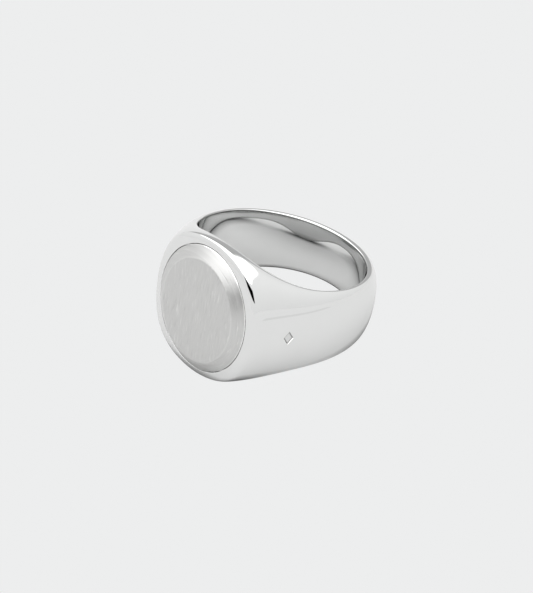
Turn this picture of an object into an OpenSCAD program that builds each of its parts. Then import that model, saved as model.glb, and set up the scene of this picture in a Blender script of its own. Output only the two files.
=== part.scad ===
// Signet ring: a tapered finger band that swells into two shoulders and a flat
// oval head. A bevelled oval face plate is let into a seat in the head.
// The finger runs along Z through the origin, and the head faces -Y.

/* [Finger] */
// Inside diameter of the ring
bore_d = 18; // [14:0.1:23]

/* [Band] */
// Width of the band along the finger, at the back
band_w = 5.7; // [3:0.1:8]
// Width of the band half way round, at the sides
waist_w = 7.7; // [4:0.1:10]
// Thickness of the band at the middle of its dome
band_t = 1.5; // [1.1:0.05:2.6]
// How far the edge leans outwards at the back, per millimetre of wall
band_lean = 0.8; // [0:0.02:1]
// Fullness of the dome at the back: 2 is an ellipse, more is squarer
band_power = 1.95; // [1.3:0.05:4]

/* [Head] */
// Thickness of the head from the bore to the face, at the middle
head_t = 1.7; // [1.3:0.05:3]
// Polished border at each side of the plate, across the finger
collar_side = 0.7; // [0.4:0.05:2]
// Edge of the bore beyond each end of the plate, along the finger
collar_end = 0.6; // [0.3:0.05:2]
// How closely the width flares to the head: more is a shorter flare
flare_power = 6.5; // [3:0.1:10]
// How closely the shoulders rise to the head: more is a shorter rise
shoulder_power = 8.3; // [4:0.1:12]
// How far the edge leans outwards at the head, per millimetre of wall
head_lean = 0.6; // [0:0.02:1]
// Fullness of the shoulders at the head: 2 is an ellipse, less is leaner
head_power = 1.3; // [1.2:0.05:3]
// Sharpness of the rounding where the shoulders meet the face
face_power = 90; // [30:5:150]

/* [Face plate] */
// Width of the plate across the finger
plate_w = 12.5; // [8:0.1:16]
// Length of the plate along the finger
plate_l = 13.9; // [8:0.1:18]
// Straight side of the plate, below its bevel
plate_side = 0.5; // [0.3:0.05:1.2]
// Run of the bevel, inwards from the plate's edge
bevel_run = 1.26; // [0.4:0.02:2.5]
// Rise of the bevel, from the plate's edge to its flat top
bevel_rise = 0.88; // [0.2:0.02:1.6]

/* [Seat] */
// Depth of the seat below the middle of the face
seat_depth = 0.75; // [0.4:0.05:1]
// Clearance round the plate in its seat
seat_gap = 0.05; // [0.02:0.01:0.15]
// Thickness of the solder under the plate
solder_t = 0.1; // [0.05:0.01:0.2]
// Border of the seat that the solder doesn't reach
solder_inset = 0.4; // [0.1:0.05:1]

/* [Hallmark] */
// Width, round the ring, of the plain lozenge punched in one shoulder
mark_w = 1.1; // [0.6:0.1:3]
// Length of the lozenge along the finger
mark_l = 1.6; // [0.8:0.1:3]
// Depth of the punched lozenge
mark_depth = 0.12; // [0.05:0.01:0.3]
// Angle of the lozenge round the ring from the middle of the face
mark_angle = 53; // [45:1:90]

/* [Hidden] */

bore_r = bore_d / 2;
face_h = bore_r + head_t;

// Heights along -Y, each resting on the one before
seat_h = face_h - seat_depth;
plate_base_h = seat_h + solder_t;
plate_edge_h = plate_base_h + plate_side;
plate_top_h = plate_edge_h + bevel_rise;

// Half widths of the bore's edge: a straight taper, and the flare to the head
waist_half = waist_w / 2;
taper_half = waist_half - band_w / 2;
flare_half = plate_l / 2 + collar_end - waist_half - taper_half;

// The shoulders rise so that they meet the face at the collar's outer corner
corner_x = plate_w / 2 + collar_side;
corner_r = norm([corner_x, face_h]);
shoulder_rise = (corner_r - bore_r - band_t)
    / pow(front(face_h / corner_r), shoulder_power);

// Fineness of the swept body
stations = 96;
station_bunching = 35;
rays = 28;
corner_bunching = 8;
halvings = 22;
bore_overlap = 0.6;
round_fn = 128;

// 1 at the middle of the face and 0 at the back, from the cosine of the angle round the ring
function front(c) = (1 + c) / 2;

// Blends a value at the back of the band into one at the head
function blend(back, head, c) = back + (head - back) * pow(front(c), 2);

// Half width of the body at a radius r
function half_width(c, r) =
    waist_half + taper_half * c + flare_half * pow(front(c), flare_power)
    + blend(band_lean, head_lean, c) * (r - bore_r);

// Thickness of the wall at the middle of its dome
function wall(c) = band_t + shoulder_rise * pow(front(c), shoulder_power);

// Below 1 inside the body and 1 on its surface: the dome, the edges and the face, blended
function fullness(c, r, z) =
    pow(max(r - bore_r, 0) / wall(c), blend(band_power, head_power, c))
    + pow(z / half_width(c, r), 2)
    + pow(max(r * c / face_h, 0), face_power);

// Share of the ray [dr, dz] from the middle of the bore's wall that reaches the surface
function reach(c, ray, near = 0, far = 8, left = halvings) =
    left == 0 ? near :
    let (mid = (near + far) / 2)
    fullness(c, bore_r + mid * ray[0], mid * ray[1]) < 1
        ? reach(c, ray, mid, far, left - 1)
        : reach(c, ray, near, mid, left - 1);

// Stations bunch towards the head, and rays towards the two corners of the section
function station_angle(i) =
    let (turn = 360 * i / stations) turn - station_bunching * sin(turn);
function ray_angle(j) =
    let (turn = 180 * j / rays) turn + corner_bunching * sin(4 * turn);

// One outline across the band as [r, z], closed inside the bore
function section(c) =
    let (
        inner = bore_r - bore_overlap,
        across = half_width(c, bore_r),
        up = reach(c, [1, 0])
    )
    concat(
        [[inner, half_width(c, inner)]],
        [for (j = [1:rays - 1])
            let (
                ray = [up * sin(ray_angle(j)), across * cos(ray_angle(j))],
                share = reach(c, ray)
            )
            [bore_r + share * ray[0], share * ray[1]]],
        [[inner, -half_width(c, inner)]]
    );

// A point in the ring's frame from an angle round the ring, a radius and a height
function at(angle, r, z) = [r * sin(angle), -r * cos(angle), z];

// The outside of the body, from face to back and round again
module hoop() {
    points = [for (i = [0:stations - 1]) let (a = station_angle(i))
        for (p = section(cos(a))) at(a, p[0], p[1])];
    ring = rays + 1;
    faces = [for (i = [0:stations - 1], j = [0:ring - 1])
        let (
            a = i * ring,
            b = (i + 1) % stations * ring,
            k = (j + 1) % ring
        )
        each [[a + j, b + j, b + k], [a + j, b + k, a + k]]];
    polyhedron(points, faces);
}

// An oval slab that faces -Y, from height h and t thick
module oval_slab(w, l, h, t) {
    translate([0, -h, 0])
        rotate([90, 0, 0])
            linear_extrude(t)
                polygon([for (i = [0:round_fn - 1])
                    let (a = 360 * i / round_fn) [w / 2 * cos(a), l / 2 * sin(a)]]);
}

// The tip of a hallmark punch: a plain lozenge, sunk square into the sloping shoulder
module lozenge_punch() {
    shoulder_r = bore_r + wall(cos(mark_angle));
    fall_per_degree = wall(cos(mark_angle - 0.5)) - wall(cos(mark_angle + 0.5));
    slope = atan(fall_per_degree * 180 / PI / shoulder_r);
    rotate([0, 0, mark_angle])
        translate([0, -shoulder_r, 0])
            rotate([90, 0, slope])
                translate([0, 0, -mark_depth])
                    linear_extrude(band_t)
                        polygon([[mark_w / 2, 0], [0, mark_l / 2], [-mark_w / 2, 0], [0, -mark_l / 2]]);
}

module ring_body() {
    color([0.83, 0.84, 0.84])
        difference() {
            hoop();
            cylinder(h = 4 * plate_l, r = bore_r, center = true, $fn = round_fn);
            oval_slab(plate_w + 2 * seat_gap, plate_l + 2 * seat_gap, seat_h, 2 * head_t);
            lozenge_punch();
        }
}

module solder_sheet() {
    color([0.72, 0.7, 0.64])
        oval_slab(plate_w - 2 * solder_inset, plate_l - 2 * solder_inset, seat_h, solder_t);
}

module face_plate() {
    slice = 0.01;
    color([0.77, 0.77, 0.76]) {
        oval_slab(plate_w, plate_l, plate_base_h, plate_side);
        hull() {
            oval_slab(plate_w, plate_l, plate_edge_h - slice, slice);
            oval_slab(plate_w - 2 * bevel_run, plate_l - 2 * bevel_run, plate_top_h - slice, slice);
        }
    }
}

ring_body();
solder_sheet();
face_plate();
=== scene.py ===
"""A signet ring: a polished silver body with a brushed oval plate let into its head.

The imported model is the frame. The body and the plate are modelled again here with their
real roundings, in the same place and size, and the solder between them keeps its solid.
The finger runs along Z through the origin, the face looks along -Y, and sizes in the
classes below are in millimetres.
"""

import logging
import math
from collections.abc import Callable, Iterator, Sequence
from contextlib import contextmanager
from dataclasses import dataclass, field
from enum import Enum

import bmesh
import bpy
import numpy as np
from mathutils import Matrix, Vector


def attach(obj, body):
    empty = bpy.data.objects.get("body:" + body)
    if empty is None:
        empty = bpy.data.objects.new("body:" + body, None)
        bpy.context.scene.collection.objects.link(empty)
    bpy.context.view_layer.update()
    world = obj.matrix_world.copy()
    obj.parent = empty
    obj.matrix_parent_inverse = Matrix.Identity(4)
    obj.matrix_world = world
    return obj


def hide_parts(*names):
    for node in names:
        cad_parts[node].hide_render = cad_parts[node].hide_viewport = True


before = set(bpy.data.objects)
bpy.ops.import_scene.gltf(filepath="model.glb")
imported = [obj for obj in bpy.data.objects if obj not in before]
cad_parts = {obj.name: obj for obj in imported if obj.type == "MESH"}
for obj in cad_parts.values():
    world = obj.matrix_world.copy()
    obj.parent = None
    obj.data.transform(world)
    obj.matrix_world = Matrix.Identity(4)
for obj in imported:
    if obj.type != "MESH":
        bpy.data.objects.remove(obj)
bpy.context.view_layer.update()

log = logging.getLogger("signet_ring")

Array = np.ndarray
Socket = bpy.types.NodeSocket
Piece = bpy.types.Object
Material = bpy.types.Material
Mesh = bmesh.types.BMesh
Edge = bmesh.types.BMEdge
Pair = tuple[float, float]
Colour = tuple[float, float, float]

MM = 0.001
BODY = "root"
# Vertex attribute of painted shade: a dark line along the bore's rims and in the hallmark's corners
PAINTED_SHADE_LINE = "painted_shade_line"
QUARTER = math.pi / 2

# How often a range is halved to find where a surface lies in it
HALVINGS = 44
# In metres: vertices closer than WELD are merged, and places within LEVEL are in one plane
WELD = 0.002 * MM
LEVEL = 0.001 * MM
# Where nearly all of a noise's values lie
USUAL = (0.3, 0.7)


class Slot(Enum):
    """The record's material slots."""

    POLISHED = "polished_silver"
    BRUSHED = "brushed_silver"
    SOLDER = "silver_solder"


class Rim(Enum):
    """The bore's two rims, by the sign of their height along the finger."""

    UPPER = 1.0
    LOWER = -1.0


class Cover(Enum):
    """How a sheet of the set takes light, by its shader node's name."""

    GLOWING = "Emission"
    MATT = "BsdfDiffuse"


# ---------------- modelling helpers


def pick(piece: Piece) -> None:
    """Makes one piece the only selected object, and the active one.

    Args:
        piece: The object to select.
    """
    bpy.ops.object.select_all(action="DESELECT")
    piece.select_set(True)
    bpy.context.view_layer.objects.active = piece


@contextmanager
def editing(piece: Piece, selected: bool = False) -> Iterator[Mesh]:
    """Opens a piece in edit mode, and closes it again.

    Args:
        piece: The mesh object to edit.
        selected: Whether all of it starts selected. Otherwise nothing does.

    Yields:
        The edit mesh. It is read again after each operator by `live`.
    """
    pick(piece)
    bpy.ops.object.mode_set(mode="EDIT")
    bpy.ops.mesh.select_mode(type="VERT")
    bpy.ops.mesh.select_all(action="SELECT" if selected else "DESELECT")
    yield bmesh.from_edit_mesh(piece.data)
    bmesh.update_edit_mesh(piece.data)
    bpy.ops.object.mode_set(mode="OBJECT")


def live(piece: Piece) -> Mesh:
    """The piece's edit mesh as the last operator left it."""
    return bmesh.from_edit_mesh(piece.data)


def select_edges(piece: Piece, keep: Callable[[Edge], bool]) -> None:
    """Selects the edges that a test keeps, and nothing else.

    Args:
        piece: The mesh object, in edit mode.
        keep: A function of an edge that is true for the edges to select.
    """
    bpy.ops.mesh.select_all(action="DESELECT")
    bpy.ops.mesh.select_mode(type="EDGE")
    for edge in live(piece).edges:
        if keep(edge):
            edge.select_set(True)
    bmesh.update_edit_mesh(piece.data)


def name_piece(name: str) -> Piece:
    """Names the object that the last primitive made.

    Args:
        name: The piece's name, for both the object and its mesh.

    Returns:
        The object.
    """
    piece = bpy.context.object
    piece.name = piece.data.name = name
    return piece


def settle(piece: Piece, smooth_angle: float) -> None:
    """Finishes a piece: its place goes into its mesh, its normals point out, its shading is smooth.

    Args:
        piece: The mesh object.
        smooth_angle: Edges sharper than this, in degrees, stay crisp.
    """
    pick(piece)
    bpy.ops.object.transform_apply()
    with editing(piece, selected=True):
        bpy.ops.mesh.normals_make_consistent(inside=False)
    pick(piece)
    bpy.ops.object.shade_smooth_by_angle(angle=math.radians(smooth_angle))


def halve(holds: Callable[[Array], Array], low: Array, high: Array) -> Array:
    """Finds where a test stops holding, between two bounds.

    Args:
        holds: The test, which is true up to the place and false beyond it.
        low: The low bounds.
        high: The high bounds.

    Returns:
        The places, found by halving.
    """
    for _ in range(HALVINGS):
        middle = (low + high) / 2
        held = holds(middle)
        low, high = np.where(held, middle, low), np.where(held, high, middle)
    return low


def bend(start: Array, corner: Array, end: Array, t: float) -> Array:
    """A point on the curve that rounds a corner off, from its start at 0 to its end at 1."""
    return start * (1 - t) ** 2 + corner * 2 * t * (1 - t) + end * t ** 2


def fit_to_frame(piece: Piece, node: str,
                 finish: Material) -> None:
    """Dresses a modelled piece and puts it on the ring's body in place of its CAD node.

    Args:
        piece: The modelled piece.
        node: The CAD node that it stands for.
        finish: Its material.
    """
    piece.data.materials.clear()
    piece.data.materials.append(finish)
    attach(piece, BODY)
    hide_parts(node)
    log.info("%s: %d faces, in place of %s", piece.name, len(piece.data.polygons), node)


# ---------------- finishes


class NodeBench:
    """A small workbench for wiring a material's or a world's nodes."""

    def __init__(self, tree: bpy.types.NodeTree) -> None:
        """Clears a node tree to wire it afresh.

        Args:
            tree: The node tree.
        """
        self.tree = tree
        tree.nodes.clear()

    def add(self, kind: str, inputs: dict | None = None, **settings: object) -> bpy.types.Node:
        """Adds a node.

        Args:
            kind: The node's type name, without the leading "ShaderNode".
            inputs: Values or other sockets for its inputs, by name or number.
            **settings: The node's own properties.

        Returns:
            The node.
        """
        node = self.tree.nodes.new("ShaderNode" + kind)
        for key, value in settings.items():
            setattr(node, key, value)
        for key, value in (inputs or {}).items():
            if isinstance(value, Socket):
                self.tree.links.new(value, node.inputs[key])
            else:
                node.inputs[key].default_value = value
        return node

    def math(self, operation: str, *values: object) -> Socket:
        """A sum, product or other operation on numbers.

        Args:
            operation: The Math node's operation.
            *values: Numbers or sockets, in order.

        Returns:
            The result's socket.
        """
        return self.add("Math", dict(enumerate(values)), operation=operation).outputs[0]

    def scaled(self, vector: object, factor: object) -> Socket:
        """A vector or a colour times a number."""
        return self.add("VectorMath", {0: vector, "Scale": factor}, operation="SCALE").outputs[0]

    def spread(self, value: object, low: float, high: float, to_low: object, to_high: object,
               kind: str = "LINEAR") -> Socket:
        """Maps one range of a number onto another.

        Args:
            value: The number's socket.
            low: Start of its range.
            high: End of its range.
            to_low: What low becomes.
            to_high: What high becomes.
            kind: The Map Range node's interpolation.

        Returns:
            The result's socket.
        """
        node = self.add("MapRange", {0: value, 1: low, 2: high, 3: to_low, 4: to_high},
                        interpolation_type=kind)
        return node.outputs[0]

    def grain(self, place: object, scale: float, detail: float = 2.0,
              roughness: float = 0.5) -> Socket:
        """A soft noise between 0 and 1.

        Args:
            place: The socket of the coordinates that it is read at.
            scale: Its size, in cells to the metre.
            detail: How many finer layers are added.
            roughness: How strong each finer layer is.

        Returns:
            The noise's socket.
        """
        node = self.add("TexNoise", {"Vector": place, "Scale": scale, "Detail": detail,
                                     "Roughness": roughness})
        return node.outputs[0]

    def metal(self, colour: Socket, rough: Socket, height: Socket, relief: Pair,
              **grain: object) -> Socket:
        """A metal with a fine relief.

        Args:
            colour: The socket of its colour.
            rough: The socket of its roughness.
            height: The socket of its relief.
            relief: The relief's strength, and its depth in millimetres.
            **grain: The shader's inputs for a metal that is brushed one way.

        Returns:
            The shader's socket.
        """
        strength, depth = relief
        bump = self.add("Bump", {"Height": height, "Strength": strength, "Distance": depth * MM})
        return self.add("BsdfPrincipled", {
            "Base Color": colour, "Metallic": 1.0, "Roughness": rough, "Normal": bump.outputs[0],
            **grain}).outputs[0]


@dataclass(frozen=True)
class Finish:
    """A finish that a piece is given: the base of every finish here."""

    name: str

    def make(self) -> Material:
        """Makes the material.

        Returns:
            A node-based material with this finish's name.
        """
        material = bpy.data.materials.new(self.name)
        material.use_nodes = True
        bench = NodeBench(material.node_tree)
        place = bench.add("TexCoord").outputs["Object"]
        surface = self.surface(bench, place)
        bench.add("OutputMaterial", {"Surface": surface})
        return material

    def surface(self, bench: NodeBench, place: Socket) -> Socket:
        """Wires the finish's shader.

        Args:
            bench: The bench of its nodes.
            place: The socket of the object's coordinates.

        Returns:
            The shader's socket.
        """
        raise NotImplementedError


@dataclass(frozen=True)
class PolishedSilver(Finish):
    """Buffed silver: a mirror with faint haze and hair-fine wear."""

    name: str = "polished_silver"
    colour: Colour = (0.80, 0.805, 0.80)
    cloud_tone: float = 0.985
    shade_line_colour: Colour = (0.16, 0.16, 0.155)
    gloss: float = 0.03
    haze: float = 0.02
    line_haze: float = 0.25
    cloud_scale: float = 420.0
    wear_scale: float = 5200.0
    wear: Pair = (0.02, 0.002)

    def surface(self, bench: NodeBench, place: Socket) -> Socket:
        """Wires a mirror with a faint haze, and a painted dark line of shade along the rims and in the
        hallmark's corners.

        Args:
            bench: The bench of its nodes.
            place: The socket of the object's coordinates.

        Returns:
            The shader's socket.
        """
        cloud = bench.grain(place, self.cloud_scale, 3.0)
        wear = bench.grain(place, self.wear_scale)
        line = bench.add("Attribute", attribute_name=PAINTED_SHADE_LINE).outputs["Fac"]
        haze = bench.math("MULTIPLY_ADD", cloud, self.haze, self.gloss)
        haze = bench.math("MULTIPLY_ADD", line, self.line_haze, haze)
        clean = bench.scaled(self.colour, bench.spread(cloud, *USUAL, self.cloud_tone, 1.0))
        # Painted shade: the colour turns dark where the painted shade attribute is high
        colour = bench.add("Mix", {"Factor": line, "A": clean, "B": self.shade_line_colour},
                           data_type="VECTOR").outputs[1]
        return bench.metal(colour, haze, wear, self.wear)


@dataclass(frozen=True)
class BrushedSilver(Finish):
    """Silver brushed by hand, in short uneven strokes: along the finger, and round the bevel.

    A facing tells the plate's parts apart: it is 1 on the flat, 0.82 on the bevel and 0 on the
    side, and a part's finish comes or goes over the range that is named after it.
    """

    name: str = "brushed_silver"
    colour: Colour = (0.65, 0.65, 0.642)
    roughness: float = 0.44
    line_roughness: Pair = (-0.05, 0.07)
    anisotropy: float = 0.5
    slant: float = 0.09
    fine_stroke: Pair = (0.07, 30.0)
    broad_stroke: Pair = (0.2, 12.0)
    light_stroke: Pair = (0.24, 8.0)
    dark_stroke: Pair = (0.19, 10.0)
    line_tone: Pair = (-0.09, 0.08)
    light_tone: float = 0.15
    dark_tone: float = -0.12
    patch_scale: float = 330.0
    patch_least: float = 0.3
    relief: Pair = (0.6, 0.02)
    light_relief: float = 0.5
    bevel_radius: float = 6.2
    bevel_facing: Pair = (0.86, 0.95)
    # Painted highlight: a lighter line on the crease between the bevel and the flat
    crease_facing: tuple[float, float, float, float] = (0.83, 0.88, 0.93, 0.985)
    crease_highlight: float = 0.08
    # The burnished foot has less roughness, and its colour is lifted as a painted highlight
    foot_facing: Pair = (0.55, 0.78)
    foot_highlight: float = 0.38
    foot_gloss: float = 0.4

    @staticmethod
    def strokes(bench: NodeBench, across: Socket, along: Socket, stroke: Pair) -> Socket:
        """Noise drawn out into strokes.

        Args:
            bench: The bench of its nodes.
            across: The socket of the place across the strokes.
            along: The socket of the place along them, as a vector.
            stroke: A stroke's width, in millimetres, and how many times longer it is.

        Returns:
            The noise's socket.
        """
        width, stretch = stroke
        side = bench.add("CombineXYZ", {"X": bench.math("DIVIDE", across, width * MM)})
        drawn = bench.scaled(along, 1.0 / (width * stretch * MM))
        both = bench.add("VectorMath", {0: side.outputs[0], 1: drawn})
        return bench.grain(both.outputs[0], 1.0, 3.0, 0.6)

    def brushing(self, bench: NodeBench, across: Socket, lean: Socket, along: Socket) -> list[Socket]:
        """One direction's brushing.

        Args:
            bench: The bench of its nodes.
            across: The socket of the place across the strokes.
            lean: The socket of the place that they lean with.
            along: The socket of the place along them, as a vector.

        Returns:
            The sockets of its fine lines, and of its stronger light and dark strokes.
        """
        left = bench.math("MULTIPLY_ADD", lean, self.slant, across)
        right = bench.math("MULTIPLY_ADD", lean, -self.slant, across)
        fine = self.strokes(bench, left, along, self.fine_stroke)
        broad = self.strokes(bench, right, along, self.broad_stroke)
        light = self.strokes(bench, left, along, self.light_stroke)
        dark = self.strokes(bench, right, along, self.dark_stroke)
        return [bench.math("MULTIPLY", bench.math("ADD", fine, broad), 0.5),
                bench.spread(light, 0.58, 0.70, 0.0, 1.0), bench.spread(dark, 0.40, 0.30, 0.0, 1.0)]

    def surface(self, bench: NodeBench, place: Socket) -> Socket:
        """Wires a satin metal: brushed along its flat and round its bevel, burnished at its foot,
        with painted highlights on the crease and the foot.

        Args:
            bench: The bench of its nodes.
            place: The socket of the object's coordinates.

        Returns:
            The shader's socket.
        """
        axes = bench.add("SeparateXYZ", {0: place}).outputs
        level = bench.add("CombineXYZ", {"X": axes["X"], "Z": axes["Z"]}).outputs[0]
        lengthwise = bench.add("CombineXYZ", {"Y": axes["Z"]}).outputs[0]
        radius = bench.add("VectorMath", {0: level}, operation="LENGTH").outputs["Value"]
        outwards = bench.add("VectorMath", {0: level}, operation="NORMALIZE").outputs[0]
        around = bench.scaled(outwards, self.bevel_radius * MM)

        normal = bench.add("SeparateXYZ", {0: bench.add("TexCoord").outputs["Normal"]}).outputs
        facing = bench.math("ABSOLUTE", normal["Y"])
        bevel = bench.spread(facing, *self.bevel_facing, 1.0, 0.0)
        foot = bench.spread(facing, *self.foot_facing, 1.0, 0.0)
        starts, full, fades, ends = self.crease_facing
        crease = bench.math("MULTIPLY", bench.spread(facing, starts, full, 0.0, 1.0),
                            bench.spread(facing, fades, ends, 1.0, 0.0))

        lines, light, dark = (
            bench.spread(bevel, 0.0, 1.0, on_flat, on_bevel) for on_flat, on_bevel in zip(
                self.brushing(bench, axes["X"], axes["Z"], lengthwise),
                self.brushing(bench, radius, axes["Y"], around)))
        patch = bench.spread(bench.grain(place, self.patch_scale), 0.38, 0.62, self.patch_least, 1.0)
        tone = bench.math("MULTIPLY_ADD", bench.spread(lines, 0.35, 0.65, *self.line_tone), patch, 1.0)
        # Painted highlights lighten the crease and the foot; the light and dark strokes are the
        # brushing's own
        for mask, change in ((light, self.light_tone), (dark, self.dark_tone),
                             (crease, self.crease_highlight), (foot, self.foot_highlight)):
            tone = bench.math("MULTIPLY_ADD", mask, change, tone)
        least, most = self.line_roughness
        rough = bench.spread(lines, *USUAL, self.roughness + least, self.roughness + most)
        rough = bench.math("MULTIPLY", rough, bench.spread(foot, 0.0, 1.0, 1.0, self.foot_gloss))
        height = bench.math("MULTIPLY_ADD", light, self.light_relief,
                            bench.math("SUBTRACT", lines, dark))

        across = bench.add("Tangent", direction_type="RADIAL", axis="Z").outputs[0]
        radial = bench.add("VectorTransform", {0: outwards}, vector_type="VECTOR",
                           convert_from="OBJECT", convert_to="WORLD").outputs[0]
        grain = bench.add("Mix", {"Factor": bevel, "A": across, "B": radial}, data_type="VECTOR")
        return bench.metal(bench.scaled(self.colour, tone), rough, height, self.relief,
                           Anisotropic=self.anisotropy, Tangent=grain.outputs[1])


@dataclass(frozen=True)
class SilverSolder(Finish):
    """Solder as it flowed: dull, grainy and a little yellow."""

    name: str = "silver_solder"
    colour: Colour = (0.62, 0.58, 0.50)
    skin_scale: float = 1500.0
    skin_tone: Pair = (0.85, 1.1)
    roughness: Pair = (0.4, 0.6)
    relief: Pair = (0.5, 0.02)

    def surface(self, bench: NodeBench, place: Socket) -> Socket:
        """Wires a dull metal with an uneven skin.

        Args:
            bench: The bench of its nodes.
            place: The socket of the object's coordinates.

        Returns:
            The shader's socket.
        """
        skin = bench.grain(place, self.skin_scale, 4.0, 0.6)
        colour = bench.scaled(self.colour, bench.spread(skin, *USUAL, *self.skin_tone))
        rough = bench.spread(skin, *USUAL, *self.roughness)
        return bench.metal(colour, rough, skin, self.relief)


# ---------------- the ring's form


@dataclass(frozen=True)
class RingForm:
    """The outside of the ring's body as one smooth form, the same as the solid's.

    An angle round the ring is 0 at the middle of the face and a half turn at the back, and
    `c` is its cosine. A slant is the direction across the band from the middle of the bore's
    wall: 0 towards the band's upper edge, a right angle outwards, and a half turn down.
    """

    bore_radius: float = 9.0
    band_width: float = 5.7
    waist_width: float = 7.7
    band_thickness: float = 1.5
    band_lean: float = 0.8
    band_power: float = 1.95
    head_thickness: float = 1.7
    collar_side: float = 0.7
    collar_end: float = 0.6
    flare_power: float = 6.5
    shoulder_power: float = 8.3
    head_lean: float = 0.6
    head_power: float = 1.3
    face_power: float = 90.0
    plate_width: float = 12.5
    plate_length: float = 13.9
    ease_back: float = 0.11
    ease_side: float = 0.2
    ease_head: float = 0.03
    ease_power: float = 2.2
    ease_fade: float = 1.5
    side_middle: float = -0.25
    side_spread: float = 0.45

    @property
    def face_height(self) -> float:
        """Height of the face above the finger's axis."""
        return self.bore_radius + self.head_thickness

    @property
    def taper(self) -> float:
        """How much half the band's width changes from the side to the back."""
        return (self.waist_width - self.band_width) / 2

    @property
    def flare(self) -> float:
        """How much half the band's width grows from the side's taper to the head."""
        return self.plate_length / 2 + self.collar_end - self.waist_width / 2 - self.taper

    @property
    def shoulder_rise(self) -> float:
        """How much the wall thickens, so that the shoulders meet the face at the collar's side.

        Returns:
            The rise at the middle of the face.
        """
        corner = math.hypot(self.plate_width / 2 + self.collar_side, self.face_height)
        front = (1 + self.face_height / corner) / 2
        return (corner - self.bore_radius - self.band_thickness) / front ** self.shoulder_power

    def half_width(self, c: Array, r: Array) -> Array:
        """Half the body's width along the finger.

        Args:
            c: The angle's cosine.
            r: Radius.

        Returns:
            The half width.
        """
        front = (1 + c) / 2
        lean = self.band_lean + (self.head_lean - self.band_lean) * front ** 2
        return (self.waist_width / 2 + self.taper * c + self.flare * front ** self.flare_power
                + lean * (r - self.bore_radius))

    def wall(self, c: Array) -> Array:
        """Thickness of the wall at the middle of its dome."""
        return self.band_thickness + self.shoulder_rise * ((1 + c) / 2) ** self.shoulder_power

    def rim_radius(self, c: Array) -> Array:
        """Radius of the bore's rims, eased outwards and most of all at the sides.

        Args:
            c: The angle's cosine.

        Returns:
            The radius.
        """
        side = np.exp(-((c - self.side_middle) / self.side_spread) ** 2)
        ease = self.ease_back + (self.ease_head - self.ease_back) * ((1 + c) / 2) ** self.ease_fade
        return self.bore_radius + ease + (self.ease_side - self.ease_back) * side

    def bore_wall(self, c: Array, z: Array) -> Array:
        """Radius of the bore's wall, eased out from its middle to its rims.

        Args:
            c: The angle's cosine.
            z: Height along the finger.

        Returns:
            The radius.
        """
        rim = self.rim_radius(c)
        share = np.abs(z) / self.half_width(c, rim)
        return self.bore_radius + (rim - self.bore_radius) * share ** self.ease_power

    def fullness(self, c: Array, r: Array, z: Array) -> Array:
        """Below 1 inside the body and 1 on its surface.

        Args:
            c: The angle's cosine.
            r: Radius.
            z: Height along the finger.

        Returns:
            The dome's, the edges' and the face's shares, added up.
        """
        power = self.band_power + (self.head_power - self.band_power) * ((1 + c) / 2) ** 2
        dome = (np.maximum(r - self.bore_radius, 0) / self.wall(c)) ** power
        edges = (z / self.half_width(c, r)) ** 2
        return dome + edges + np.maximum(r * c / self.face_height, 0) ** self.face_power

    def reach(self, c: Array, rise: Array, run: Array) -> Array:
        """How many times a ray from the middle of the bore's wall goes into its reach.

        Args:
            c: The angle's cosine.
            rise: The ray's part outwards.
            run: The ray's part along the finger.

        Returns:
            The multiple of the ray that ends on the surface.
        """
        near = np.zeros(np.broadcast(c, rise, run).shape)
        return halve(lambda m: self.fullness(c, self.bore_radius + m * rise, m * run) < 1,
                     near, near + 8.0)

    def spans(self, c: Array) -> tuple[Array, Array]:
        """The section's reach outwards and along the finger, which scale its rays."""
        c = np.asarray(c, float)
        return self.reach(c, np.ones_like(c), np.zeros_like(c)), self.half_width(c, self.bore_radius)

    def surface(self, angle: Array, slant: Array) -> Array:
        """Points on the body's surface.

        Args:
            angle: Angles round the ring.
            slant: Slants across the band.

        Returns:
            Points in the ring's frame, one to a row.
        """
        c = np.cos(angle)
        outwards, along = self.spans(c)
        rise, run = outwards * np.sin(slant), along * np.cos(slant)
        share = self.reach(c, rise, run)
        return self.place(angle, self.bore_radius + share * rise, share * run)

    def slant_at(self, angle: Array, r: Array, z: Array) -> Array:
        """The slant of the ray through a point at a radius and a height."""
        outwards, along = self.spans(np.cos(angle))
        return np.arctan2((r - self.bore_radius) / outwards, z / along)

    def edge_height(self, angle: Array, r: Array) -> Array:
        """Height of the surface along the finger, at a radius close to the bore."""
        c = np.cos(angle)
        return self.half_width(c, r) * np.sqrt(1 - self.fullness(c, r, np.zeros_like(c)))

    def face_address(self, x: Array, z: Array) -> tuple[Array, Array]:
        """The angle and slant of a point of the face, from its place across and along the finger.

        Args:
            x: Places across the finger.
            z: Places along the finger.

        Returns:
            The angles round the ring, and the slants.
        """
        height = halve(lambda h: self.fullness(h / np.hypot(x, h), np.hypot(x, h), z) < 1,
                       np.full_like(x, self.bore_radius), np.full_like(x, self.face_height + 0.5))
        angle = np.arctan2(x, height)
        return angle, self.slant_at(angle, np.hypot(x, height), z)

    @staticmethod
    def place(angle: Array, r: Array, z: Array) -> Array:
        """Points in the ring's frame from angles round it, radii and heights."""
        return np.stack([r * np.sin(angle), -r * np.cos(angle), z + 0 * r], axis=-1)


# ---------------- pieces


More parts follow.
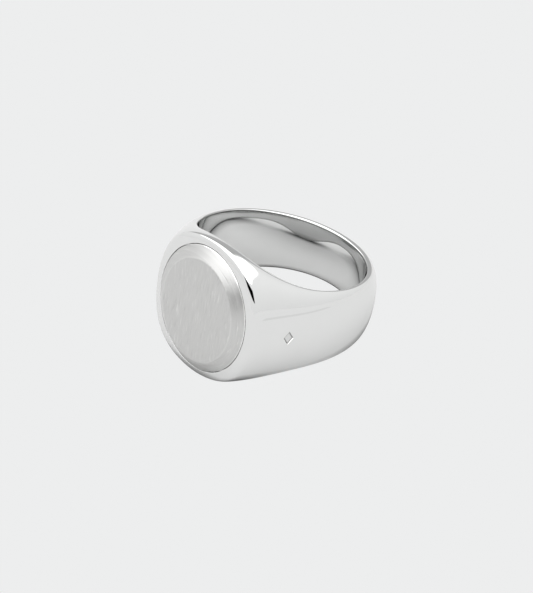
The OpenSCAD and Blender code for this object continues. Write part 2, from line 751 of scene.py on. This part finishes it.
@dataclass
class RingBody:
    """Band, shoulders and head in one cast piece, with the plate's seat and the finger's bore.

    The finish's line is painted shade, dark along the bore's rims and in the hallmark's corners:
    0 is unshaded and 1 darkest. `rim_lines` are its darkness across a rim's rounding, each at the
    band's back and at the head.
    """

    form: RingForm
    seat_height: float = 9.95
    seat_gap: float = 0.05
    seat_round: float = 0.06
    rim_round: float = 0.08
    rim_start: float = 1.5
    rim_lines: tuple[Pair, ...] = (
        (0.0, 0.5), (0.2, 0.9), (0.7, 1.0), (1.0, 1.0), (1.0, 1.0))
    line_reach: float = 0.2
    # Painted shade below the bore's rims: its strength, least strength, reach and spread
    bore_shade: float = 0.55
    bore_shade_least: float = 0.2
    bore_shade_top: float = 1.6
    bore_shade_depth: float = 0.4
    bore_shade_angles: Pair = (48.0, 131.0)
    bore_shade_spread: float = 22.0
    mark_angle: float = 53.0
    mark_width: float = 1.1
    mark_length: float = 1.6
    mark_depth: float = 0.12
    mark_lean: float = 0.7
    mark_corner: float = 0.1
    # Painted shade in the hallmark: its darkness at the corners, and on the floor
    mark_lines: Pair = (0.85, 0.12)
    end_spokes: int = 144
    side_spokes: int = 56
    corner_angle: float = 24.0
    rings: int = 64
    ring_bunching: float = 1.4
    stations: int = 52
    bore_cuts: int = 17
    smooth_angle: float = 38.0
    name: str = "polished_body"
    piece: Piece | None = field(init=False, default=None)

    @property
    def spokes(self) -> int:
        """Number of spokes from the seat's edge out over the head."""
        return 2 * (self.end_spokes + self.side_spokes)

    def seat_turns(self) -> Array:
        """Each spoke's angle round the seat, from the right-hand side towards the upper end.

        Returns:
            The angles, closer together on the seat's two sides.
        """
        corner = math.radians(self.corner_angle)
        side = np.linspace(-corner, corner, self.side_spokes, endpoint=False)
        end = np.linspace(corner, math.pi - corner, self.end_spokes, endpoint=False)
        return np.concatenate([side, end, side + math.pi, end + math.pi])

    def seat_halves(self, grow: float) -> Pair:
        """Half the seat's width and length, grown by a distance all round."""
        more = self.seat_gap + grow
        return self.form.plate_width / 2 + more, self.form.plate_length / 2 + more

    def seat_oval(self, grow: float) -> tuple[Array, Array]:
        """The seat's outline at each spoke, grown by a distance all round, as (x, z)."""
        (half_width, half_length), turns = self.seat_halves(grow), self.seat_turns()
        return half_width * np.cos(turns), half_length * np.sin(turns)

    def rim_slant(self, angle: Array) -> Array:
        """Slant at which the surface ends and the bore's rounded rim begins."""
        r = self.form.rim_radius(np.cos(angle)) + 2 * self.rim_round
        return self.form.slant_at(angle, r, self.form.edge_height(angle, r))

    def outer_addresses(self) -> tuple[Array, Array]:
        """Each spoke's far end: the angle round the ring, and the slant.

        Returns:
            The angles and slants, round the front half's border in the spokes' order.
        """
        rim = float(self.rim_slant(np.array([QUARTER]))[0])
        across = np.linspace(math.pi - rim, rim, self.side_spokes, endpoint=False)
        along = np.linspace(QUARTER, -QUARTER, self.end_spokes, endpoint=False)
        edge = self.rim_slant(along)
        side = np.full(self.side_spokes, QUARTER)
        return (np.concatenate([side, along, -side, -along]),
                np.concatenate([across, edge, math.pi - across, math.pi - edge]))

    def rim_loops(self, angle: Array, rim: Rim) -> tuple[Array, Array]:
        """Loops that round one of the bore's rims, from the surface to the bore's wall.

        A painted dark line of shade lies on the rounding, wider at the head, and a painted shade
        fades below it on the quarters of the bore.

        Args:
            angle: Angles round the ring of the rim's vertices.
            rim: Which of the two rims.

        Returns:
            The points of each loop, and how dark the finish's line is on each of them.
        """
        c, size, step = np.cos(angle), self.rim_round, 1e-3
        edge = self.form.rim_radius(c)
        start = self.form.edge_height(angle, edge + size)
        slope = (self.form.edge_height(angle, edge + size + step) - start) / step
        corner = start - slope * size
        beside = edge + self.rim_start * size
        loops = [(beside, self.form.edge_height(angle, beside), 0.0)]
        front = np.clip(c + self.line_reach, 0, 1)
        for t, (at_back, at_front) in zip(np.linspace(0, 1, len(self.rim_lines)), self.rim_lines):
            loops.append((edge + size * (1 - t) ** 2, bend(start, corner, corner - size, t),
                          at_back + (at_front - at_back) * front))
        # Painted shade below each rim, darkest on two quarters of the bore on each side
        quarters = sum(np.exp(-((np.degrees(np.abs(angle)) - middle) / self.bore_shade_spread) ** 2)
                       for middle in self.bore_shade_angles)
        shade = np.maximum(self.bore_shade * quarters, self.bore_shade_least)
        for depth, line in ((self.bore_shade_top * size, shade), (self.bore_shade_depth, 0.0)):
            loops.append((self.form.bore_wall(c, corner - depth), corner - depth, line))
        points = np.array([self.form.place(angle, r, rim.value * z) for r, z, _ in loops])
        return points, np.array([np.broadcast_to(line, angle.shape) for _, _, line in loops])

    def grow_loop(self, targets: Sequence[Array], tags: str,
                  lines: Sequence[Array] | None = None) -> None:
        """Extrudes the selected edges once for each set of targets.

        Args:
            targets: Where the new vertices go, each set indexed by the vertices' tag.
            tags: Name of the layer with the vertices' tags.
            lines: How dark the painted shade line is at each target, if it has one.
        """
        for number, points in enumerate(targets):
            bpy.ops.mesh.extrude_edges_move()
            mesh = live(self.piece)
            tag, line = mesh.verts.layers.int[tags], mesh.verts.layers.float[PAINTED_SHADE_LINE]
            for vertex in mesh.verts:
                if vertex.select:
                    vertex.co = Vector(points[vertex[tag]]) * MM
                    vertex[line] = 0.0 if lines is None else lines[number][vertex[tag]]
            bmesh.update_edit_mesh(self.piece.data)

    def shape_head(self) -> None:
        """Lays the head and shoulders out from the seat's edge to the sides of the ring."""
        bpy.ops.mesh.primitive_circle_add(
            vertices=self.spokes, radius=self.form.plate_width / 2 * MM,
            location=(0.0, -self.form.face_height * MM, 0.0), rotation=(QUARTER, 0.0, 0.0))
        self.piece = name_piece(self.name)
        bpy.ops.object.transform_apply()
        start_angle, start_slant = self.form.face_address(*self.seat_oval(self.seat_round))
        end_angle, end_slant = self.outer_addresses()
        loops = []
        for k in range(self.rings + 1):
            share = (k / self.rings) ** self.ring_bunching
            loops.append(self.form.surface(start_angle + share * (end_angle - start_angle),
                                           start_slant + share * (end_slant - start_slant)))
        with editing(self.piece) as mesh:
            mesh.verts.layers.float.new(PAINTED_SHADE_LINE)
            tag = mesh.verts.layers.int.new("spoke")
            step = 2 * math.pi / self.spokes
            for vertex in mesh.verts:
                turn = math.atan2(vertex.co.z, vertex.co.x)
                vertex[tag] = round(turn / step) % self.spokes
            for vertex in mesh.verts:
                vertex.co = Vector(loops[0][vertex[tag]]) * MM
            bmesh.update_edit_mesh(self.piece.data)
            bpy.ops.mesh.select_all(action="SELECT")
            self.grow_loop(loops[1:], "spoke")

    def shape_seat(self) -> None:
        """Turns the seat's edge in and down, and closes the seat's floor."""
        inner_x, inner_z = self.seat_oval(0.0)
        outer = self.form.surface(*self.form.face_address(*self.seat_oval(self.seat_round)))
        drop = self.form.surface(*self.form.face_address(inner_x, inner_z))
        down = drop + np.array([0.0, self.seat_round, 0.0])
        loops = [bend(outer, drop, down, t) for t in (0.25, 0.5, 0.75, 1.0)]
        floor = np.stack([inner_x, np.full_like(inner_x, -self.seat_height), inner_z], axis=-1)
        loops.append(floor)
        with editing(self.piece):
            select_edges(self.piece, lambda e: e.is_boundary and self.on_seat_edge(e))
            self.grow_loop(loops, "spoke")
            bpy.ops.mesh.edge_face_add()

    def on_seat_edge(self, edge: Edge) -> bool:
        """Whether an open edge lies round the seat, by its distance from the face's middle."""
        half_width, half_length = (half * MM for half in self.seat_halves(2 * self.seat_round))
        return all((v.co.x / half_width) ** 2 + (v.co.z / half_length) ** 2 < 1 for v in edge.verts)

    def shape_band(self) -> None:
        """Carries the front half's two side edges round to meet at the back."""
        rows = self.side_spokes + 1
        loops = []
        for angle in np.linspace(QUARTER, math.pi, self.stations + 1)[1:]:
            rim = float(self.rim_slant(np.array([angle]))[0])
            slant = (math.pi - rim) + np.linspace(0, 1, rows) * (2 * rim - math.pi)
            right = self.form.surface(np.full(rows, angle), slant)
            left = right * np.array([-1.0, 1.0, 1.0])
            loops.append(np.concatenate([right, left]))
        with editing(self.piece) as mesh:
            row = mesh.verts.layers.int.new("row")
            spoke = mesh.verts.layers.int["spoke"]
            last = 2 * self.side_spokes + self.end_spokes
            for vertex in mesh.verts:
                if abs(vertex.co.y) < LEVEL:
                    on_right = vertex.co.x > 0
                    vertex[row] = vertex[spoke] if on_right else rows + last - vertex[spoke]
            bmesh.update_edit_mesh(self.piece.data)
            select_edges(self.piece, lambda e: e.is_boundary and all(
                abs(v.co.y) < LEVEL for v in e.verts))
            self.grow_loop(loops, "row")
            bpy.ops.mesh.select_all(action="SELECT")
            bpy.ops.mesh.remove_doubles(threshold=WELD)

    def shape_bore(self) -> None:
        """Rounds both rims into the bore, and bridges them with the bore's eased wall."""
        with editing(self.piece) as mesh:
            mesh.verts.layers.int.new("rim")
            for rim in Rim:
                select_edges(self.piece, lambda e, side=rim.value: e.is_boundary and all(
                    side * v.co.z > 0 for v in e.verts))
                mesh = live(self.piece)
                tag = mesh.verts.layers.int["rim"]
                ends = [v for v in mesh.verts if v.select]
                for number, vertex in enumerate(ends):
                    vertex[tag] = number
                angles = np.array([math.atan2(v.co.x, -v.co.y) for v in ends])
                bmesh.update_edit_mesh(self.piece.data)
                points, lines = self.rim_loops(angles, rim)
                self.grow_loop(points, "rim", lines)
            select_edges(self.piece, lambda e: e.is_boundary)
            modelled = len(live(self.piece).verts)
            bpy.ops.mesh.bridge_edge_loops(number_cuts=self.bore_cuts, interpolation="LINEAR")
            mesh = live(self.piece)
            mesh.verts.ensure_lookup_table()
            line = mesh.verts.layers.float[PAINTED_SHADE_LINE]
            for vertex in mesh.verts[modelled:]:
                radius = math.hypot(vertex.co.x, vertex.co.y)
                eased = float(self.form.bore_wall(-vertex.co.y / radius, vertex.co.z / MM)) * MM
                vertex.co.x, vertex.co.y = vertex.co.x * eased / radius, vertex.co.y * eased / radius
                vertex[line] = 0.0
            bmesh.update_edit_mesh(self.piece.data)

    def mark_place(self) -> tuple[float, float, float]:
        """Where the hallmark is punched.

        Returns:
            The angle round the ring, the radius, and the slope of the shoulder there.
        """
        turn, step = math.radians(self.mark_angle), math.radians(0.5)
        radius = self.form.bore_radius + float(self.form.wall(math.cos(turn)))
        fall = float(self.form.wall(math.cos(turn - step)) - self.form.wall(math.cos(turn + step)))
        return turn, radius, math.atan(fall / (2 * step * radius))

    def punch_mark(self) -> None:
        """Sinks the plain lozenge of a hallmark punch, which widens upwards, into one shoulder."""
        turn, radius, slope = self.mark_place()
        foot, height = 0.5 - self.mark_depth * self.mark_lean, 1.0
        bpy.ops.mesh.primitive_cone_add(
            vertices=4, radius1=foot * MM, radius2=(foot + height * self.mark_lean) * MM,
            depth=height * MM)
        punch = name_piece("hallmark_punch")
        with editing(punch, selected=True):
            bpy.ops.transform.resize(value=(self.mark_width, self.mark_length, 1.0))
            bpy.ops.transform.translate(value=(0.0, 0.0, (height / 2 - self.mark_depth) * MM))
        punch.matrix_world = (
            Matrix.Rotation(turn, 4, "Z") @ Matrix.Translation((0.0, -radius * MM, 0.0))
            @ Matrix.Rotation(slope, 4, "Z") @ Matrix.Rotation(QUARTER, 4, "X"))
        pick(self.piece)
        cut = self.piece.modifiers.new("punch", "BOOLEAN")
        cut.operation, cut.object, cut.solver = "DIFFERENCE", punch, "EXACT"
        bpy.ops.object.modifier_apply(modifier=cut.name)
        bpy.data.objects.remove(punch)
        with editing(self.piece, selected=True):
            bpy.ops.mesh.remove_doubles(threshold=WELD)
            bpy.ops.mesh.dissolve_degenerate(threshold=WELD)

    def shade_mark_corners(self) -> None:
        """Paints shade into the corners of the punched lozenge's floor, and a little over the floor."""
        turn, radius, _ = self.mark_place()
        middle = Vector(self.form.place(turn, radius - self.mark_depth, 0.0)) * MM
        corners, floor = self.mark_lines
        with editing(self.piece) as mesh:
            bpy.ops.mesh.select_mode(type="FACE")
            min(mesh.faces, key=lambda f: (f.calc_center_median() - middle).length).select_set(True)
            self.draw_line(corners)
            bpy.ops.mesh.inset(thickness=self.mark_corner * MM, depth=0.0)
            self.draw_line(floor)

    def draw_line(self, darkness: float) -> None:
        """Gives the selected vertices one darkness of the finish's line."""
        mesh = live(self.piece)
        line = mesh.verts.layers.float[PAINTED_SHADE_LINE]
        for vertex in mesh.verts:
            if vertex.select:
                vertex[line] = darkness
        bmesh.update_edit_mesh(self.piece.data)

    def build(self, finish: Material) -> Piece:
        """Models the body, finishes it and puts it in the frame.

        Args:
            finish: The body's material.

        Returns:
            The finished piece.
        """
        self.shape_head()
        self.shape_seat()
        self.shape_band()
        self.shape_bore()
        settle(self.piece, self.smooth_angle)
        self.punch_mark()
        settle(self.piece, self.smooth_angle)
        self.shade_mark_corners()
        fit_to_frame(self.piece, "ring_body", finish)
        return self.piece


@dataclass
class FacePlate:
    """The oval plate: a straight side, a wide bevel and a flat brushed top with soft edges."""

    width: float = 12.5
    length: float = 13.9
    base_height: float = 10.05
    side: float = 0.5
    bevel_run: float = 1.26
    bevel_rise: float = 0.88
    foot_round: float = 0.1
    foot_facets: int = 4
    top_round: float = 0.16
    top_facets: int = 6
    corners: int = 288
    smooth_angle: float = 30.0
    name: str = "brushed_plate"

    def build(self, finish: Material) -> Piece:
        """Models the plate, finishes it and puts it in the frame.

        Args:
            finish: The plate's material.

        Returns:
            The finished piece.
        """
        bpy.ops.mesh.primitive_circle_add(
            vertices=self.corners, radius=1.0, fill_type="NGON",
            location=(0.0, 0.0, 0.0), rotation=(QUARTER, 0.0, 0.0))
        plate = name_piece(self.name)
        bpy.ops.object.transform_apply()
        half_width, half_length = self.width / 2, self.length / 2
        with editing(plate, selected=True):
            bpy.ops.transform.resize(value=(half_width * MM, 1.0, half_length * MM))
            bpy.ops.transform.translate(value=(0.0, -self.base_height * MM, 0.0))
            bpy.ops.mesh.extrude_region_move(
                TRANSFORM_OT_translate={"value": (0.0, -self.side * MM, 0.0)})
            bpy.ops.mesh.extrude_region_move(
                TRANSFORM_OT_translate={"value": (0.0, -self.bevel_rise * MM, 0.0)})
            bpy.ops.transform.resize(value=(
                (half_width - self.bevel_run) / half_width, 1.0,
                (half_length - self.bevel_run) / half_length))
            foot = self.base_height + self.side
            self.soften(plate, foot + self.bevel_rise, self.top_round, self.top_facets)
            self.soften(plate, foot, self.foot_round, self.foot_facets)
        settle(plate, self.smooth_angle)
        fit_to_frame(plate, "face_plate", finish)
        return plate

    @staticmethod
    def soften(plate: Piece, height: float, size: float, facets: int) -> None:
        """Rounds the ring of edges at one height.

        Args:
            plate: The plate, in edit mode.
            height: The edges' height above the finger's axis.
            size: Width of the rounding.
            facets: Its number of facets.
        """
        select_edges(plate, lambda e: all(abs(v.co.y + height * MM) < LEVEL for v in e.verts))
        bpy.ops.mesh.bevel(offset=size * MM, offset_type="OFFSET", segments=facets, profile=0.5,
                           clamp_overlap=False)


@dataclass
class SolderSheet:
    """The solder under the plate, which keeps its own solid and gets its finish."""

    node: str = "solder_sheet"

    def dress(self, finish: Material) -> None:
        """Puts the solder's finish on the CAD node's slots.

        Args:
            finish: The solder's material.
        """
        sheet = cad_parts[self.node]
        for slot in sheet.material_slots:
            slot.material = finish
        log.info("%s: finished as it stands", sheet.name)


# ---------------- studio


@dataclass(frozen=True)
class Panel:
    """A panel of the light tent, as the ring sees it.

    Directions are in degrees: the azimuth is 0 towards the camera and grows to its right, and
    the elevation is above the table. Each edge is the direction of its inward normal.
    """

    edges: tuple[Pair, ...]
    softness: float
    brightness: float


def card(azimuth: Pair, elevation: Pair, softness: float,
         brightness: float) -> Panel:
    """An upright rectangular panel.

    Args:
        azimuth: Its left and right edges.
        elevation: Its lower and upper edges.
        softness: Width of its soft edges, in degrees.
        brightness: Its brightness.

    Returns:
        The panel.
    """
    left, right = azimuth
    low, high = elevation
    middle = (left + right) / 2
    return Panel(((left + 90.0, 0.0), (right - 90.0, 0.0), (middle + 180.0, 90.0 - low),
                  (middle, high - 90.0)), softness, brightness)


@dataclass
class Studio:
    """Pale table, light tent and camera, laid out from how the ring rests."""

    azimuth: float = 41.45
    elevation: float = 29.25
    roll: float = 9.89
    distance: float = 418.5
    lens: float = 243.6
    sensor: float = 36.0
    aim_right: float = -0.959
    aim_up: float = -1.411
    pale: Colour = (0.847, 0.853, 0.855)
    table_radius: float = 3000.0
    table_corners: int = 64
    table_shade: float = 0.62
    # Reach of the painted shadow on the mirrored table near the ring, in millimetres
    painted_shadow_reach: float = 2.0
    # A darker strip on the mirrored table, seen only in the ring's reflections
    dark_strip_shade: float = 0.55
    dark_strip_place: Pair = (42.0, 64.0)
    dark_strip_size: Pair = (14.0, 42.0)
    dark_strip_lift: float = 0.05
    surround: Pair = (0.87, 1.0)
    surround_top: float = 0.75
    panels: tuple[Panel, ...] = (
        Panel(((-103.0, 37.0), (-164.0, 45.0), (77.0, 48.0)), 2.5, 2.0),
        card((150.0, 196.0), (-30.0, 44.0), 8.0, 0.5),
        card((-50.0, 10.0), (13.0, 35.0), 2.0, 0.0),
    )
    up: Vector | None = field(init=False, default=None)
    height: float = field(init=False, default=0.0)

    def rest_slope(self, body: Piece) -> Pair:
        """Finds how the ring rests: on the head's lower edge and on the back of the band.

        Args:
            body: The ring's body.

        Returns:
            The table's rise along Y, and its height at the origin.
        """
        points = np.array([v.co for v in body.data.vertices])
        front, back = points[points[:, 1] < 0], points[points[:, 1] > 0]

        def lowest(side: Array, slope: float) -> float:
            """How far the lowest of some points stands above a sloping table."""
            return float((side[:, 2] - slope * side[:, 1]).min())

        slope = float(halve(lambda s: lowest(front, s) < lowest(back, s), 0.0, 1.0))
        return slope, lowest(points, slope)

    def camera_axes(self) -> tuple[Vector, Vector, Vector]:
        """The camera's own directions.

        Returns:
            Its right, its up and its backward direction.
        """
        turn, lift, roll = (math.radians(a) for a in (self.azimuth, self.elevation, self.roll))
        back = Vector((math.sin(turn) * math.cos(lift), -math.cos(turn) * math.cos(lift),
                       math.sin(lift)))
        level = Vector((math.cos(turn), math.sin(turn), 0.0))
        upright = back.cross(level)
        right = math.cos(roll) * level + math.sin(roll) * upright
        up = math.cos(roll) * upright - math.sin(roll) * level
        return right, up, back

    def set_camera(self) -> None:
        """Makes the scene's camera."""
        right, up, back = self.camera_axes()
        data = bpy.data.cameras.new("camera")
        data.sensor_width, data.lens = self.sensor, self.lens
        data.clip_start, data.clip_end = 0.01, 10.0
        camera = bpy.data.objects.new("camera", data)
        bpy.context.scene.collection.objects.link(camera)
        place = (back * self.distance + right * self.aim_right + up * self.aim_up) * MM
        camera.matrix_world = Matrix.Translation(place) @ Matrix((right, up, back)).transposed().to_4x4()
        bpy.context.scene.camera = camera

    def lay_table(self) -> None:
        """Lays the table under the ring: the surface that is seen, and the one that is mirrored."""
        turn = self.up.to_track_quat("Z", "Y").to_euler()
        # The mirrored table carries a painted shadow where the ring stands close to it
        for name, cover, colour, painted_shadow_reach in (
                ("table", Cover.GLOWING, self.pale, 0.0),
                ("table_mirrored", Cover.MATT, (self.table_shade,) * 3, self.painted_shadow_reach)):
            bpy.ops.mesh.primitive_circle_add(
                vertices=self.table_corners, radius=self.table_radius * MM, fill_type="NGON",
                location=(0.0, 0.0, self.height), rotation=turn)
            self.paint(name_piece(name), cover, colour, painted_shadow_reach)

    def lay_dark_strip(self) -> None:
        """Lays a darker strip on the mirrored table, which the ring's side mirrors as a soft line."""
        azimuth, distance = self.dark_strip_place
        width, length = self.dark_strip_size
        outwards = self.towards(azimuth, 0.0)
        axes = Matrix((outwards, self.up.cross(outwards), self.up)).transposed().to_4x4()
        place = (outwards * distance + self.up * self.dark_strip_lift) * MM
        place.z += self.height
        bpy.ops.mesh.primitive_plane_add(size=1.0)
        dark_strip = name_piece("table_dark_strip")
        dark_strip.matrix_world = (Matrix.Translation(place) @ axes
                             @ Matrix.Diagonal((width * MM, length * MM, 1.0, 1.0)))
        self.paint(dark_strip, Cover.MATT, (self.dark_strip_shade,) * 3)
        dark_strip.visible_diffuse = dark_strip.visible_shadow = False

    @staticmethod
    def paint(sheet: Piece, cover: Cover, colour: Colour, painted_shadow_reach: float = 0.0) -> None:
        """Gives a sheet of the set its one shader, and marks it as no part of the ring.

        Args:
            sheet: The sheet. The camera sees it if it glows, and the ring mirrors it if not.
            cover: How it takes light.
            colour: Its colour.
            painted_shadow_reach: How close, in millimetres, something must stand to darken the sheet
                with a painted shadow.
        """
        material = bpy.data.materials.new(sheet.name)
        material.use_nodes = True
        bench = NodeBench(material.node_tree)
        shade: object = (*colour, 1.0)
        # Painted shadow: the sheet darkens where something stands close to it
        if painted_shadow_reach:
            near = bench.add("AmbientOcclusion", {"Color": shade, "Distance": painted_shadow_reach * MM})
            shade = near.outputs["Color"]
        shader = bench.add(cover.value, {"Color": shade})
        bench.add("OutputMaterial", {"Surface": shader.outputs[0]})
        sheet.data.materials.append(material)
        if cover is Cover.GLOWING:
            sheet.visible_glossy = sheet.visible_diffuse = sheet.visible_shadow = False
        else:
            sheet.visible_camera = False

    def towards(self, azimuth: float, elevation: float) -> Vector:
        """A direction in the ring's frame.

        Args:
            azimuth: Degrees from the camera's side towards its right.
            elevation: Degrees above the table.

        Returns:
            The direction.
        """
        back = self.camera_axes()[2]
        front = (back - self.up * back.dot(self.up)).normalized()
        turn, lift = math.radians(azimuth), math.radians(elevation)
        level = math.cos(turn) * front + math.sin(turn) * self.up.cross(front)
        return math.cos(lift) * level + math.sin(lift) * self.up

    def hang_tent(self) -> None:
        """Hangs the light tent: a pale surround that brightens upwards, and its panels."""
        world = bpy.data.worlds.new("light_tent")
        world.use_nodes = True
        bpy.context.scene.world = world
        bench = NodeBench(world.node_tree)
        ray = bench.add("TexCoord").outputs["Generated"]

        def along(axis: Vector) -> Socket:
            """How far the ray goes along a direction."""
            return bench.add("VectorMath", {0: ray, 1: tuple(axis)},
                             operation="DOT_PRODUCT").outputs["Value"]

        light = bench.spread(along(self.up), 0.0, self.surround_top, *self.surround)
        for panel in self.panels:
            half = math.sin(math.radians(panel.softness / 2))
            mask: object = 1.0
            for edge in panel.edges:
                inside = bench.spread(along(self.towards(*edge)), -half, half, 0.0, 1.0, "SMOOTHSTEP")
                mask = bench.math("MULTIPLY", mask, inside)
            change = bench.math("SUBTRACT", panel.brightness, light)
            light = bench.math("MULTIPLY_ADD", mask, change, light)
        shade = bench.add("Background", {"Color": (1.0, 1.0, 1.0, 1.0), "Strength": light})
        bench.add("OutputWorld", {"Surface": shade.outputs[0]})

    def build(self, body: Piece) -> None:
        """Sets up the table, the tent and the camera.

        Args:
            body: The ring's body, which rests on the table.
        """
        slope, self.height = self.rest_slope(body)
        self.up = Vector((0.0, -slope, 1.0)).normalized()
        self.lay_table()
        self.lay_dark_strip()
        self.hang_tent()
        self.set_camera()
        bpy.context.scene.view_settings.view_transform = "Standard"
        log.info("table: %.2f degrees, %.2f mm under the middle",
                 math.degrees(math.atan(slope)), -self.height / MM)


def main() -> None:
    """Builds the ring, then the studio round it."""
    logging.basicConfig(level=logging.INFO, format="%(name)s: %(message)s")
    form = RingForm()
    body = RingBody(form).build(PolishedSilver().make())
    FacePlate().build(BrushedSilver().make())
    SolderSheet().dress(SilverSolder().make())
    Studio().build(body)


if __name__ == "__main__":
    main()
